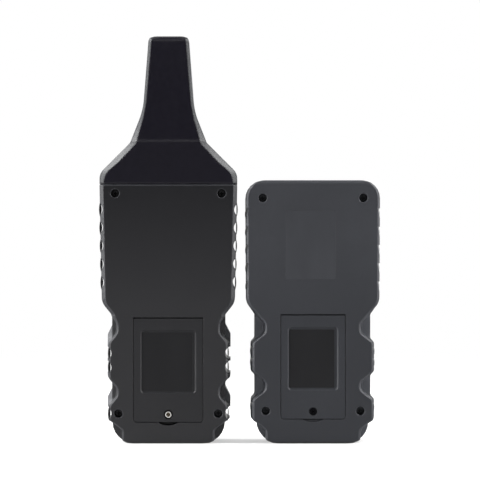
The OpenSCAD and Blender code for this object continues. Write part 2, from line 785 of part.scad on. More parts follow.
// Case
module rear_shell(u) {
    back = back_path(u);
    core = core_path(u);
    if (u == receiver) grip_bars(back);
    difference() {
        union() {
            difference() {
                loft([for (z = body_levels(u, back, core)) rear_section(u, z, back, core)]);
                rear_hollow(u);
            }
            both_sides() at(screw_up(u)[0], screw_up(u)[1]) rod_y(boss_r, 0, rear_d - wall / 2);
        }
        bay_cut(u);
        if (u == receiver) rib_slots(back);
        else rib_notches(core);
        screw_places(u) {
            rod_y(screw_hole_r, screw_seat_y, rear_d + over);
            rod_y(screw_pass_r, -over, rear_d);
            translate([0, rear_d, 0]) rotate([90, 0, 0])
                cylinder(r1 = screw_hole_r + screw_hole_bevel, r2 = screw_hole_r, h = screw_hole_bevel);
        }
        if (u == transmitter) back_label_place() slab(back_label_w, back_label_h, label_r,
            rear_d - label_t, rear_d + over);
    }
}
module front_shell(u) {
    path = front_path(u);
    core = core_path(u);
    boss_y = u == receiver ? -lug_t : 0;
    difference() {
        union() {
            difference() {
                loft([for (z = body_levels(u, path, core)) front_section(u, z, path, core)]);
                front_hollow(u);
            }
            both_sides() {
                at(screw_up(u)[0], screw_up(u)[1]) rod_y(boss_r, front_in_y - wall / 2, boss_y);
                at(screw_low(u)[0], screw_low(u)[1]) rod_y(boss_r, front_in_y - wall / 2, 0);
            }
            if (u == transmitter) grip_ribs(core);
            post_places(u) rod_y(post_r, front_in_y - wall / 2, board_front_y);
        }
        if (u == receiver) rib_slots(back_path(u));
        screw_places(u) rod_y(screw_r + fitted / 2, screw_seat_y - screw_l - over, over);
        post_places(u) rod_y(post_bore_r, board_front_y - post_bore, over);
        at(0, display_z(u)) {
            slab(display_w + fitted, display_h(u) + fitted, display_r, -front_d - over,
                window_seat - front_d);
            slab(display_w - 2 * window_land, display_h(u) - 2 * window_land, display_r,
                -front_d - over, over);
        }
        key_places(u) slab(key_w + 2 * running, key_h + 2 * running, key_r + running,
            -front_d - over, over);
        at(0, buzzer_z(u)) {
            rod_y(sound_r, -front_d - over, over);
            for (turn = [0:90:270]) rotate([0, turn, 0]) at(sound_pitch, 0)
                rod_y(sound_r, -front_d - over, over);
        }
        if (u == transmitter) socket_places() rod_z(socket_r + fitted, transmitter_body_h - 2 * wall,
            transmitter_body_h + over);
    }
}
module antenna_head() {
    difference() {
        union() {
            difference() {
                loft([for (z = head_levels) head_section(z)]);
                loft([for (z = head_inside_levels) head_inside(z)]);
            }
            both_sides() at(screw_up(receiver)[0], 0) lug();
        }
        translate([0, -bulkhead_open_front, 0])
            block(bulkhead_open_w, 0, bulkhead_open_front + bulkhead_open_rear, seam_z - over,
                seam_z + bulkhead_t + over);
        both_sides() at(screw_up(receiver)[0], screw_up(receiver)[1])
            rod_y(screw_pass_r, -lug_t - over, over);
    }
}
module lug() {
    block(2 * lug_half, -lug_t, 0, screw_up(receiver)[1] - lug_drop, seam_z + bulkhead_t / 2);
}

// Battery door and its pieces
module battery_door(u) {
    w = door_w(u) / 2;
    low = door_low(u);
    difference() {
        union() {
            prism_y(rounded([[-w, low, door_corner_r], [w, low, door_corner_r], [w, hinge_z(u), 0],
                [-w, hinge_z(u), 0]]), door_in_y, door_out_y);
            translate([0, hinge_y, hinge_z(u)]) rod_x(door_t / 2, 2 * w);
            both_sides() at(door_w(u) * tab_x_share, 0) {
                block(tab_w, door_in_y - tab_t, door_in_y + tab_bite, hinge_z(u) - tab_root, hinge_z(u));
                block(tab_w, door_in_y - tab_t, door_in_y, hinge_z(u) - tab_root,
                    hinge_z(u) + door_t / 2 + tab_reach);
            }
        }
        panel_place(u) panel_cut(u);
        at(0, door_screw_z(u)) {
            rod_y(door_seat_r(u), door_out_y - door_screw_head_h, door_out_y + over);
            rod_y(door_screw_pass_r, door_in_y - over, door_out_y);
        }
    }
}
function panel_w(u) = door_w(u) - 2 * panel_side;
panel_h = door_h - panel_low - panel_high;
module panel_cut(u) {
    lean = panel_slope / panel_depth;
    translate([0, door_out_y, 0]) rotate([90, 0, 0]) loft([for (d = [-over, panel_depth])
        [for (p = rounded_rect(panel_w(u) - 2 * lean * d, panel_h - 2 * lean * d, panel_r - lean * d))
            [p[0], p[1], d]]]);
}
module panel_place(u) {
    at(0, door_low(u) + panel_low + panel_h / 2) children();
}
module door_label(u) {
    margin = panel_slope + label_margin;
    panel_place(u) at(label_x, 0) slab(panel_w(u) - 2 * margin, panel_h - 2 * margin, label_r,
        door_out_y - panel_depth, door_out_y - panel_depth + label_t);
}
module door_screw(u) {
    at(0, door_screw_z(u)) difference() {
        union() {
            rod_y(door_screw_head_r, door_out_y - door_screw_head_h, door_out_y);
            rod_y(screw_r, door_out_y - door_screw_head_h - door_screw_l, door_out_y - door_screw_head_h);
        }
        cross_cut(door_out_y);
    }
}
module screw_insert(u) {
    at(0, door_screw_z(u)) difference() {
        rod_y(insert_r, ledge_y - insert_l, ledge_y);
        rod_y(insert_bore_r, ledge_y - insert_l - over, ledge_y + over);
    }
}
module case_screws(u) {
    screw_places(u) difference() {
        union() {
            rod_y(screw_head_r, screw_seat_y, screw_seat_y + screw_head_h);
            rod_y(screw_r, screw_seat_y - screw_l, screw_seat_y);
        }
        cross_cut(screw_seat_y + screw_head_h);
    }
}
module back_label_place() {
    at(back_label_x, (door_low(transmitter) + door_h + transmitter_body_h) / 2 + back_label_lift) children();
}
module back_label() {
    back_label_place() slab(back_label_w - fitted, back_label_h - fitted, label_r,
        rear_d - label_t, rear_d);
}

// Cells and contacts
module batteries(u) {
    low = bay_low(u) + contact_space;
    for (k = [0:battery_count - 1]) translate([(k - (battery_count - 1) / 2) * cell_pitch, cell_y, 0]) {
        rod_z(battery_d / 2, low, low + battery_l);
        rod_z(cell_cap_r, low + battery_l, low + battery_l + cell_cap_h);
    }
}
module battery_contacts(u) {
    low = bay_low(u);
    high = bay_high(u);
    block(2 * bay_half - running, cell_y - contact_h / 2, cell_y + contact_h / 2, low, low + contact_t);
    block(2 * bay_half - running, cell_y - contact_h / 2, cell_y + contact_h / 2, high - contact_t, high);
    for (k = [0:battery_count - 1]) translate([(k - (battery_count - 1) / 2) * cell_pitch, cell_y, 0]) {
        rod_z(contact_button_r, low, low + contact_space);
        rod_z(contact_button_r, high - contact_space, high);
    }
    both_sides() at(bay_half * tail_in_share, 0) for (z = tail_levels(u))
        block(tail_w, board_back_y, cell_y, z, z + contact_t);
}

// Display
module display_bezel(u) {
    at(0, display_z(u)) difference() {
        slab(display_w + 2 * bezel_w, display_h(u) + 2 * bezel_w, display_r + bezel_w,
            -front_reach, -front_d);
        slab(display_w + fitted, display_h(u) + fitted, display_r, -front_reach - over, over - front_d);
    }
}
module display_window(u) {
    at(0, display_z(u)) slab(display_w, display_h(u), display_r, -front_d - window_proud,
        window_seat - front_d);
}
module display_module(u) {
    h = display_h(u) / 2 + module_margin;
    at(0, display_z(u)) {
        block(display_w + 2 * module_margin, front_in_y + fitted, front_in_y + fitted + module_t, -h, h);
        for (z = [-h, h - header_h]) block(header_w, front_in_y + module_t, board_front_y, z, z + header_h);
    }
}

// Keys and the sheet under them
module key(u, row, side) {
    at(side * key_x, key_z(u, row)) {
        slab(key_w, key_h, key_r, -front_d - key_proud, key_back_y);
        slab(key_w + 2 * key_flange, key_h + 2 * key_flange, key_r + key_flange, front_in_y + fitted,
            key_back_y);
    }
}
module dome_sheet(u) {
    high = key_z(u, 0) + key_h / 2 + dome_margin;
    low = key_z(u, key_rows(u) - 1) - key_h / 2 - dome_margin;
    block(2 * key_x + key_w, dome_back_y, board_front_y, low, high);
    key_places(u) rod_y(dome_r, dome_front_y, dome_back_y);
}

// Board and what it carries
module main_board(u) {
    top = board_top[u];
    foot = screw_low(u)[0] - boss_r - board_gap;
    difference() {
        prism_y([[-foot, board_foot_z], [foot, board_foot_z], [foot, board_step_z],
            [board_half, board_step_z], [board_half, top], [-board_half, top],
            [-board_half, board_step_z], [-foot, board_step_z]], board_front_y, board_back_y);
        post_places(u) rod_y(board_hole_r, board_front_y - over, board_back_y + over);
    }
}
module board_parts(u) {
    chip_z = bay_high(u) + (board_top[u] - bay_high(u) - chip_w) * chip_up_share;
    low_z = bay_low(u) + bay_h * capacitor_up_share;
    at(-chip_side, chip_z) block(chip_w, board_back_y, board_back_y + chip_t, 0, chip_w);
    at(-chip_side, low_z) block(small_chip_w, board_back_y, board_back_y + chip_t, 0, small_chip_w);
    at(capacitor_x, low_z) rod_y(capacitor_r, board_back_y, board_back_y + capacitor_h);
    at(0, link_low(u)) block(link_w, board_back_y, board_back_y + link_d, 0, link_h);
}
function link_low(u) = board_top[u] - link_down - link_h;
module board_screws(u) {
    post_places(u) {
        rod_y(board_screw_head_r, board_back_y, board_back_y + board_screw_head_h);
        rod_y(board_screw_r, board_back_y - board_screw_l, board_back_y);
    }
}
module buzzer(u) {
    at(0, buzzer_z(u)) difference() {
        rod_y(buzzer_r, board_front_y - buzzer_h, board_front_y);
        rod_y(sound_r, board_front_y - buzzer_h - over, board_front_y - buzzer_h / 2);
    }
}

// Antenna
module at_core() {
    translate([0, core_y, 0]) children();
}
module antenna_core() {
    at_core() rod_z(core_r, core_low, core_low + core_l);
}
module flange(z) {
    half = head_half(z + flange_t) - wall - fitted;
    rear = lookup(z + flange_t, head_rear) - wall - fitted;
    front = lookup(z + flange_t, head_front) - wall - fitted;
    c = head_bevel;
    translate([0, 0, z]) linear_extrude(flange_t) polygon([
        [c - half, -front], [half - c, -front], [half, c - front], [half, rear - c],
        [half - c, rear], [c - half, rear], [-half, rear - c], [-half, c - front]]);
}
module antenna_bobbin() {
    difference() {
        union() {
            flange(flange_low);
            flange(flange_high);
            at_core() rod_z(core_r + bobbin_wall, flange_low, flange_high + flange_t);
        }
        at_core() rod_z(core_r + fitted / 2, flange_low - over, flange_high + flange_t + over);
    }
}
module antenna_coil() {
    at_core() difference() {
        rod_z(core_r + bobbin_wall + coil_t, flange_low + flange_t, flange_high);
        rod_z(core_r + bobbin_wall, flange_low, flange_high + over);
    }
}
module antenna_leads() {
    both_sides() translate([lead_x, board_back_y + link_d / 2, 0])
        rod_z(lead_r, board_top[receiver] - link_down, flange_low);
}

// Sockets
module socket_places() {
    both_sides() translate([socket_pitch / 2, socket_y, 0]) children();
}
module socket(side) {
    translate([side * socket_pitch / 2, socket_y, 0]) difference() {
        rod_z(socket_r, socket_low, socket_top);
        rod_z(socket_r - socket_shroud_t, socket_low + socket_base, socket_top + over);
        rod_z(socket_contact_r, socket_low - over, socket_top);
    }
}
module socket_contacts() {
    socket_places() difference() {
        rod_z(socket_contact_r, socket_low - contact_tail, socket_top - contact_down);
        rod_z(socket_bore_d / 2, socket_low - contact_tail - over, socket_top);
    }
}

// Transformer and fuse
module output_transformer() {
    mid = board_back_y + transformer_d / 2;
    low = bay_high(transmitter);
    at(transformer_x, low + (link_low(transmitter) - low - transformer_coil_h) * transformer_up_share) {
        block(transformer_w, board_back_y, board_back_y + transformer_d,
            (transformer_coil_h - transformer_h) / 2, (transformer_coil_h + transformer_h) / 2);
        block(transformer_coil_w, mid - transformer_coil_d / 2, mid + transformer_coil_d / 2,
            0, transformer_coil_h);
    }
}
fuse_z = bay_low(transmitter) + bay_h * fuse_up_share;
module at_fuse() {
    translate([0, board_back_y + fuse_lift, fuse_z]) children();
}
module fuse() {
    at_fuse() rod_x(fuse_r, fuse_l);
}
module fuse_clips() {
    both_sides() translate([(fuse_l - clip_l) / 2, 0, 0]) difference() {
        union() {
            at_fuse() rod_x(fuse_r + clip_wall, clip_l);
            at(0, fuse_z) block(clip_l, board_back_y, board_back_y + fuse_lift, -clip_foot_w / 2,
                clip_foot_w / 2);
        }
        at_fuse() rod_x(fuse_r, clip_l + over);
    }
}

// Receiver nodes
module receiver_antenna_head() color("#222226") place(receiver) antenna_head();
module receiver_front_shell() color("#2b2b2e") place(receiver) front_shell(receiver);
module receiver_rear_shell() color("#2d2d30") place(receiver) rear_shell(receiver);
module receiver_battery_door() color("#333336") place(receiver) battery_door(receiver);
module receiver_door_label() color("#2a2a2c") place(receiver) door_label(receiver);
module receiver_door_screw() color("#b9bbbd") place(receiver) door_screw(receiver);
module receiver_screw_insert() color("#b8964e") place(receiver) screw_insert(receiver);
module receiver_case_screws() color("#1c1c1e") place(receiver) case_screws(receiver);
module receiver_display_bezel() color("#1a1a1c") place(receiver) display_bezel(receiver);
module receiver_display_window() color("#8fa39a") place(receiver) display_window(receiver);
module receiver_display_module() color("#9aa58c") place(receiver) display_module(receiver);
module receiver_key(row, side) color("#4a4a4e") place(receiver) key(receiver, row, side);
module receiver_dome_sheet() color("#6f7276") place(receiver) dome_sheet(receiver);
module receiver_main_board() color("#1f5a3a") place(receiver) main_board(receiver);
module receiver_board_parts() color("#1d1d1f") place(receiver) board_parts(receiver);
module receiver_board_screws() color("#b9bbbd") place(receiver) board_screws(receiver);
module receiver_buzzer() color("#202022") place(receiver) buzzer(receiver);
module receiver_battery_contacts() color("#c4c6c8") place(receiver) battery_contacts(receiver);
module receiver_batteries() color("#3a6f9a") place(receiver) batteries(receiver);
module receiver_antenna_core() color("#3a3a3c") place(receiver) antenna_core();
module receiver_antenna_coil() color("#a8622e") place(receiver) antenna_coil();
module receiver_antenna_bobbin() color("#d8d4c8") place(receiver) antenna_bobbin();
module receiver_antenna_leads() color("#a02a24") place(receiver) antenna_leads();

// Transmitter nodes
module transmitter_front_shell() color("#434346") place(transmitter) front_shell(transmitter);
module transmitter_rear_shell() color("#444447") place(transmitter) rear_shell(transmitter);
module transmitter_battery_door() color("#47474a") place(transmitter) battery_door(transmitter);
module transmitter_door_label() color("#2c2c2e") place(transmitter) door_label(transmitter);
module transmitter_door_screw() color("#2a2a2c") place(transmitter) door_screw(transmitter);
module transmitter_screw_insert() color("#b8964e") place(transmitter) screw_insert(transmitter);
module transmitter_case_screws() color("#1c1c1e") place(transmitter) case_screws(transmitter);
module transmitter_back_label() color("#4b4b4e") place(transmitter) back_label();
module transmitter_display_bezel() color("#1a1a1c") place(transmitter) display_bezel(transmitter);
module transmitter_display_window() color("#8fa39a") place(transmitter) display_window(transmitter);
module transmitter_display_module() color("#9aa58c") place(transmitter) display_module(transmitter);
module transmitter_key(row, side) color("#5a5a5e") place(transmitter) key(transmitter, row, side);
module transmitter_dome_sheet() color("#6f7276") place(transmitter) dome_sheet(transmitter);
module transmitter_main_board() color("#1f5a3a") place(transmitter) main_board(transmitter);
module transmitter_board_parts() color("#1d1d1f") place(transmitter) board_parts(transmitter);
module transmitter_board_screws() color("#b9bbbd") place(transmitter) board_screws(transmitter);
module transmitter_buzzer() color("#202022") place(transmitter) buzzer(transmitter);
module transmitter_battery_contacts() color("#c4c6c8") place(transmitter) battery_contacts(transmitter);
module transmitter_batteries() color("#3a6f9a") place(transmitter) batteries(transmitter);
module transmitter_socket_red() color("#a32a25") place(transmitter) socket(1);
module transmitter_socket_black() color("#1b1b1d") place(transmitter) socket(-1);
module transmitter_socket_contacts() color("#c2a04f") place(transmitter) socket_contacts();
module transmitter_output_transformer() color("#55504a") place(transmitter) output_transformer();
module transmitter_fuse() color("#c9d4d6") place(transmitter) fuse();
module transmitter_fuse_clips() color("#c4c6c8") place(transmitter) fuse_clips();

receiver_antenna_head();
receiver_front_shell();
receiver_rear_shell();
receiver_battery_door();
receiver_door_label();
receiver_door_screw();
receiver_screw_insert();
receiver_case_screws();
receiver_display_bezel();
receiver_display_window();
receiver_display_module();
receiver_key(0, -1);  // receiver_key_power
receiver_key(0, 1);  // receiver_key_mode
receiver_key(1, -1);  // receiver_key_up
receiver_key(1, 1);  // receiver_key_down
receiver_key(2, -1);  // receiver_key_light
receiver_key(2, 1);  // receiver_key_mute
receiver_dome_sheet();
receiver_main_board();
receiver_board_parts();
receiver_board_screws();
receiver_buzzer();
receiver_battery_contacts();
receiver_batteries();
receiver_antenna_core();
receiver_antenna_coil();
receiver_antenna_bobbin();
receiver_antenna_leads();
transmitter_front_shell();
transmitter_rear_shell();
transmitter_battery_door();
transmitter_door_label();
transmitter_door_screw();
transmitter_screw_insert();
transmitter_case_screws();
transmitter_back_label();
transmitter_display_bezel();
transmitter_display_window();
transmitter_display_module();
transmitter_key(0, -1);  // transmitter_key_power
transmitter_key(0, 1);  // transmitter_key_level
transmitter_key(1, -1);  // transmitter_key_code
transmitter_key(1, 1);  // transmitter_key_light
transmitter_dome_sheet();
transmitter_main_board();
transmitter_board_parts();
transmitter_board_screws();
transmitter_buzzer();
transmitter_battery_contacts();
transmitter_batteries();
transmitter_socket_red();
transmitter_socket_black();
transmitter_socket_contacts();
transmitter_output_transformer();
transmitter_fuse();
transmitter_fuse_clips();
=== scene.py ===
import json
import math

import bmesh
import bpy
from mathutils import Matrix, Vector


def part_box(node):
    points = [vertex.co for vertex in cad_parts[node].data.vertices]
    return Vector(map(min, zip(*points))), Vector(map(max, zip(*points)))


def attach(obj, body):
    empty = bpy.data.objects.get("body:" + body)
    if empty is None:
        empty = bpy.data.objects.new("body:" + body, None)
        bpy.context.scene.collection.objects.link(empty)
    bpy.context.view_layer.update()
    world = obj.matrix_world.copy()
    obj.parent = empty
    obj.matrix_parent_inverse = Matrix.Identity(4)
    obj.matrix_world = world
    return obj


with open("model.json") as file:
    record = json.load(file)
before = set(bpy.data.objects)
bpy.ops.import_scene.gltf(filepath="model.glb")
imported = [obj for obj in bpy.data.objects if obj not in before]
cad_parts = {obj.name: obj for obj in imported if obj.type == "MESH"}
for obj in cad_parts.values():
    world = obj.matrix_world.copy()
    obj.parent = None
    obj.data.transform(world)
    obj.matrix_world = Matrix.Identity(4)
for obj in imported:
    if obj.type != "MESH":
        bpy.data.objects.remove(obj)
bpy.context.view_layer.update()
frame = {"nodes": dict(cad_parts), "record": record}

MM = 0.001
nodes = frame["nodes"]
scene = bpy.context.scene
scene.view_settings.view_transform = "Standard"


# ---------------------------------------------------------------- camera
# The photograph looks straight at the backs: 480 pixels across, 0.6 mm to a pixel.
FIELD = 480 * 0.6 * MM
DISTANCE = 1.5
AIM = Vector((-0.00015, 0.010, 0.1215))
SENSOR = 36

camera = bpy.data.objects.new("camera", bpy.data.cameras.new("camera"))
scene.collection.objects.link(camera)
camera.data.sensor_width = SENSOR
camera.data.lens = SENSOR * DISTANCE / FIELD
camera.data.clip_start, camera.data.clip_end = 0.05, 60
camera.location = AIM + Vector((0, DISTANCE, 0))
camera.rotation_euler = (math.radians(90), 0, math.radians(180))
scene.camera = camera


# ---------------------------------------------------------------- materials
NOISE_RANGE = (0.3, 0.7)  # nearly all values of a noise texture lie in it
LOOK_RAYS = 6  # rays that a bevel or occlusion node sends out
EDGE_REACH = 0.25  # an edge counts in full where its rounded normal turns by this much
WAVE_PERIOD = math.pi / 10  # period of a wave texture of scale 1


class Graph:
    """The node tree of one material."""

    def __init__(self, name):
        self.material = bpy.data.materials.new(name)
        self.material.use_nodes = True
        self.tree = self.material.node_tree
        self.tree.nodes.clear()
        self.output = self.node("ShaderNodeOutputMaterial")

    def node(self, kind, **settings):
        made = self.tree.nodes.new(kind)
        for key, value in settings.items():
            setattr(made, key, value)
        return made

    def link(self, source, target):
        self.tree.links.new(source, target)

    def feed(self, socket, value):
        if isinstance(value, bpy.types.NodeSocket):
            self.link(value, socket)
        else:
            socket.default_value = value

    def coordinates(self, kind="Object", stretch=None):
        source = self.node("ShaderNodeTexCoord").outputs[kind]
        if stretch is None:
            return source
        mapping = self.node("ShaderNodeMapping")
        self.link(source, mapping.inputs["Vector"])
        mapping.inputs["Scale"].default_value = stretch
        return mapping.outputs["Vector"]

    def axis(self, name, kind="Object"):
        split = self.node("ShaderNodeSeparateXYZ")
        self.link(self.coordinates(kind), split.inputs[0])
        return split.outputs[name]

    def vector(self, operation, first, second=(0, 0, 0)):
        made = self.node("ShaderNodeVectorMath", operation=operation)
        self.feed(made.inputs[0], first)
        self.feed(made.inputs[1], second)
        return made.outputs

    def math(self, operation, first, second=0.0):
        made = self.node("ShaderNodeMath", operation=operation)
        self.feed(made.inputs[0], first)
        self.feed(made.inputs[1], second)
        return made.outputs[0]

    def remap(self, value, low, high, to_low=0.0, to_high=1.0, easing="LINEAR"):
        """to_low where value is low, to_high where it is high, and between them in between."""
        made = self.node("ShaderNodeMapRange", interpolation_type=easing)
        for name, fed in (("Value", value), ("From Min", low), ("From Max", high),
                          ("To Min", to_low), ("To Max", to_high)):
            self.feed(made.inputs[name], fed)
        return made.outputs["Result"]

    def noise(self, size, detail, roughness=0.55, stretch=None):
        made = self.node("ShaderNodeTexNoise")
        self.link(self.coordinates(stretch=stretch), made.inputs["Vector"])
        made.inputs["Scale"].default_value = 1 / size
        made.inputs["Detail"].default_value = detail
        made.inputs["Roughness"].default_value = roughness
        return made.outputs["Fac"]

    def spread(self, noise, to_low=0.0, to_high=1.0):
        """A noise value stretched over a whole range."""
        return self.remap(noise, *NOISE_RANGE, to_low, to_high)

    def cells(self, size):
        made = self.node("ShaderNodeTexVoronoi")
        self.link(self.coordinates(), made.inputs["Vector"])
        made.inputs["Scale"].default_value = 1 / size
        return made.outputs["Distance"]

    def bands(self, pitch, axis):
        return self.wave(pitch, wave_type="BANDS", bands_direction=axis)

    def rings(self, pitch, axis):
        return self.wave(pitch, wave_type="RINGS", rings_direction=axis)

    def wave(self, pitch, **settings):
        made = self.node("ShaderNodeTexWave", wave_profile="SIN", **settings)
        self.link(self.coordinates(), made.inputs["Vector"])
        made.inputs["Scale"].default_value = WAVE_PERIOD / pitch
        return made.outputs["Fac"]

    def blend(self, factor, first, second):
        made = self.node("ShaderNodeMix", data_type="RGBA")
        self.feed(made.inputs["Factor"], factor)
        for socket, value in zip((made.inputs[6], made.inputs[7]), (first, second)):
            self.feed(socket, value if isinstance(value, bpy.types.NodeSocket) else (*value, 1))
        return made.outputs[2]

    def mottled(self, noise, colour, dark, light):
        """A colour that wanders between two shades of itself."""
        return self.blend(self.spread(noise), scaled(colour, dark), scaled(colour, light))

    def ramp(self, factor, stops):
        made = self.node("ShaderNodeValToRGB")
        self.feed(made.inputs["Fac"], factor)
        made.color_ramp.interpolation = "CONSTANT"
        while len(made.color_ramp.elements) < len(stops):
            made.color_ramp.elements.new(1)
        for element, (place, colour) in zip(made.color_ramp.elements, stops):
            element.position = place
            element.color = (*colour, 1)
        return made.outputs["Color"]

    def rounded(self, radius):
        """The normal with edges rounded off."""
        made = self.node("ShaderNodeBevel", samples=LOOK_RAYS)
        made.inputs["Radius"].default_value = radius
        return made.outputs["Normal"]

    def edge(self, radius):
        """1 at sharp edges, 0 away from them."""
        normal = self.node("ShaderNodeNewGeometry").outputs["Normal"]
        turn = self.vector("DOT_PRODUCT", self.rounded(radius), normal)["Value"]
        return self.remap(turn, 1.0, 1.0 - EDGE_REACH)

    def hollow(self, distance):
        """Low where other faces close in within a distance, 1 in the open."""
        made = self.node("ShaderNodeAmbientOcclusion", samples=LOOK_RAYS)
        made.inputs["Distance"].default_value = distance
        return made.outputs["AO"]

    def bump(self, height, distance, strength, normal=None):
        made = self.node("ShaderNodeBump")
        self.feed(made.inputs["Height"], height)
        made.inputs["Strength"].default_value = strength
        made.inputs["Distance"].default_value = distance
        if normal is not None:
            self.link(normal, made.inputs["Normal"])
        return made.outputs["Normal"]

    def seen_directly(self):
        """1 where a camera, glossy or transmission ray looks, otherwise 0."""
        rays = self.node("ShaderNodeLightPath").outputs
        mirrored = self.math("MAXIMUM", rays["Is Glossy Ray"], rays["Is Transmission Ray"])
        return self.math("MAXIMUM", rays["Is Camera Ray"], mirrored)

    def surface(self, shader):
        self.link(shader, self.output.inputs["Surface"])
        return self.material

    def finish(self, colour, roughness, normal, **constants):
        """A Principled surface; constants are its other sockets, with _ for each space."""
        shader = self.node("ShaderNodeBsdfPrincipled")
        for socket, value in constants.items():
            shader.inputs[socket.replace("_", " ")].default_value = value
        for name, value in (("Base Color", colour), ("Roughness", roughness), ("Normal", normal)):
            self.feed(shader.inputs[name], value)
        return self.surface(shader.outputs["BSDF"])


def scaled(colour, factor):
    return tuple(c * factor for c in colour)


# Shares of a face's normal that point to the back or front, from none to full effect: bevels painted
# with a highlight, back-facing faces painted lighter, and flat finger-scoop floors painted paler.
BEVEL_STARTS, BEVEL_ENDS = (0.42, 0.6), (0.94, 0.8)
LEDGE_FACES, FLAT_FACES = (0.5, 0.8), (0.85, 0.95)
# Openness of a hole, from unshaded to full painted shade.
HOLE_SHADE = (0.42, 0.1)


def moulded(name, colour, rough=0.4, grain=0.35 * MM, soft=0.4 * MM, wear_and_highlight=None, edges=1.0,
            aside=0.1, below=None, painted_scoop_light=None, painted_light_ledges=None):
    """Spark-textured moulded plastic: grain, faint clouding, edges lighter from rubbing, painted
    bevel highlights, painted hole shade.

    soft is the radius at which edges catch the light. wear_and_highlight is the colour that sharp
    edges take from rubbing and that bevels are painted with as a highlight, edges how much of it
    sharp edges take, and aside how far a bevel turns sideways before it takes the painted highlight.
    below gives two heights and the colour at the lower one, painted shading that
    turns lighter or darker towards the bottom; painted_scoop_light the depth at which the floors of
    each finger scoop begin and how much paler they are painted, painted light on floors in shade;
    and painted_light_ledges the colour that faces which look back are painted, painted light on
    faces left in shade.
    """
    g = Graph(name)
    clouds, specks, fine = g.noise(28 * MM, 4), g.noise(2.2 * MM, 2), g.noise(grain, 2)
    tone = g.math("ADD", g.math("MULTIPLY", clouds, 0.7), g.math("MULTIPLY", specks, 0.3))
    body = g.mottled(tone, colour, 0.9, 1.1)
    # Painted shading: the colour turns lighter or darker towards the bottom, standing in for the
    # fall of the light.
    if below:
        low, high, painted_low_colour = below
        height = g.math("ADD", g.axis("Z"), g.math("MULTIPLY", clouds, 12 * MM))
        body = g.blend(g.remap(height, high, low), body, painted_low_colour)
    # Painted light: faces that look back take a paler colour, standing in for light that does not
    # reach them.
    if painted_light_ledges:
        body = g.blend(g.remap(g.axis("Y", "Normal"), *LEDGE_FACES), body, painted_light_ledges)
    slant = g.math("ABSOLUTE", g.axis("Y", "Normal"))
    sideways = g.math("ABSOLUTE", g.axis("X", "Normal"))
    # Painted highlight: bevel faces take the lighter colour as if catching the lamps; sharp edges
    # take it as wear from rubbing.
    bevel_highlight = g.math("MULTIPLY", g.remap(slant, *BEVEL_STARTS), g.remap(slant, *BEVEL_ENDS))
    bevel_highlight = g.math("MULTIPLY", bevel_highlight, g.remap(sideways, aside, aside + 0.15))
    sharp = g.math("MULTIPLY", g.edge(0.6 * MM), edges)
    lighter_edges = g.math("MULTIPLY", g.math("MAXIMUM", sharp, bevel_highlight), g.spread(clouds, 0.45, 0.9))
    body = g.blend(lighter_edges, body, wear_and_highlight or scaled(colour, 1.5))
    # Painted light: flat finger-scoop floors deep in the case are painted paler where they stand in
    # shade.
    if painted_scoop_light:
        start, pale = painted_scoop_light
        in_scoop = g.remap(g.axis("Y"), start, start - 1 * MM)
        floors = g.math("MULTIPLY", in_scoop, g.remap(slant, *FLAT_FACES))
        body = g.blend(floors, body, scaled(colour, pale))
    # Painted shade: deep holes and narrow hollows are darkened to a tenth of the colour.
    body = g.blend(g.remap(g.hollow(3 * MM), *HOLE_SHADE), body, scaled(colour, 0.1))
    roughness = g.math("ADD", g.spread(specks, rough - 0.05, rough + 0.04),
                       g.math("MULTIPLY", lighter_edges, -0.1))
    return g.finish(body, roughness, g.bump(fine, 0.02 * MM, 0.5, g.rounded(soft)),
                    Specular_IOR_Level=0.2)


def film(name, colour, specular):
    """Blank satin label film with a faint orange peel and handling haze."""
    g = Graph(name)
    haze = g.noise(11 * MM, 4, stretch=(1, 1, 0.4))
    peel = g.noise(0.9 * MM, 2)
    body = g.blend(g.remap(haze, 0.35, 0.7), scaled(colour, 0.94), scaled(colour, 1.07))
    return g.finish(body, g.spread(haze, 0.37, 0.47), g.bump(peel, 0.02 * MM, 0.4),
                    Specular_IOR_Level=specular)


def metal(name, colour, rough, dark, recess=1.2 * MM):
    """Plated or turned metal with tool marks, and painted shade in hollows up to the size of recess.
    """
    g = Graph(name)
    marks = g.rings(0.12 * MM, "Y")
    cloud = g.noise(1.8 * MM, 3)
    # Painted shade: hollows darken towards the dark colour.
    body = g.blend(g.remap(g.hollow(recess), 0.45, 0.95), dark, g.mottled(cloud, colour, 0.88, 1))
    return g.finish(body, g.spread(cloud, rough - 0.06, rough + 0.08),
                    g.bump(marks, 0.008 * MM, 0.3, g.rounded(0.25 * MM)), Metallic=1.0)


def rubber(name, colour):
    """Soft-touch silicone with a powdery surface and edges lighter from rubbing."""
    g = Graph(name)
    powder, cloud = g.noise(0.6 * MM, 3), g.noise(9 * MM, 3)
    lighter_edges = g.math("MULTIPLY", g.edge(0.8 * MM), 0.5)
    body = g.blend(lighter_edges, g.mottled(cloud, colour, 0.92, 1.08), scaled(colour, 1.5))
    return g.finish(body, g.spread(powder, 0.56, 0.68),
                    g.bump(powder, 0.03 * MM, 0.4, g.rounded(0.5 * MM)), Specular_IOR_Level=0.35)


def gloss(name, colour, rough, specular=0.45):
    """Satin moulding with light scuffs."""
    g = Graph(name)
    scuff, ripple = g.noise(4 * MM, 5, 0.7), g.noise(0.7 * MM, 2)
    body = g.blend(g.remap(scuff, 0.3, 0.75), scaled(colour, 0.92), scaled(colour, 1.12))
    body = g.blend(g.math("MULTIPLY", g.edge(0.5 * MM), 0.45), body, scaled(colour, 1.6))
    return g.finish(body, g.spread(scuff, rough - 0.06, rough + 0.1),
                    g.bump(ripple, 0.01 * MM, 0.4, g.rounded(0.4 * MM)),
                    Specular_IOR_Level=specular)


